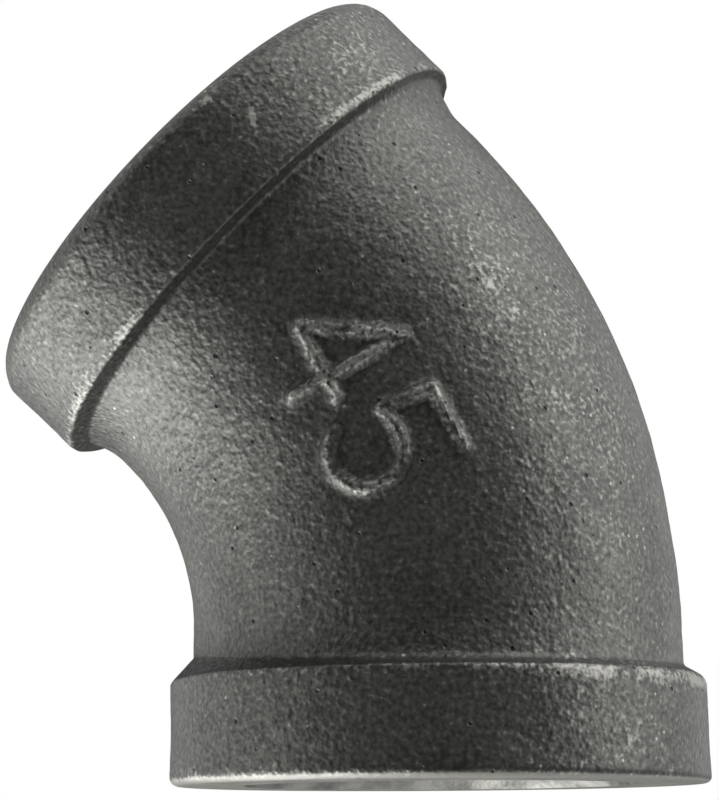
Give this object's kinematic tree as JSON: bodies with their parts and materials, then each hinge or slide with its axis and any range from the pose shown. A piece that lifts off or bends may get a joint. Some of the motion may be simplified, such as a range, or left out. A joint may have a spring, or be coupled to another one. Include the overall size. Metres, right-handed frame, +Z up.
{
  "type": "forty-five degree elbow",
  "caption": "Cast iron pipe elbow that turns a threaded pipe run by forty-five degrees, with a plain band round each end and an open passage through it.",
  "frame": {"origin": "on the surface that it stands on, under the middle of the bounding box", "axes": "+Z up along the lower arm's axis; the upper arm leans towards -X and +Z; the XZ plane is the plane of both axes"},
  "size_m": [0.0492, 0.0382, 0.0553],
  "materials": {
    "black_malleable_iron": "sand-cast, dark oxide skin, semi-matte, with worn bright edges"
  },
  "bodies": {
    "root": {"elbow_casting": "black_malleable_iron"}
  },
  "joints": []
}
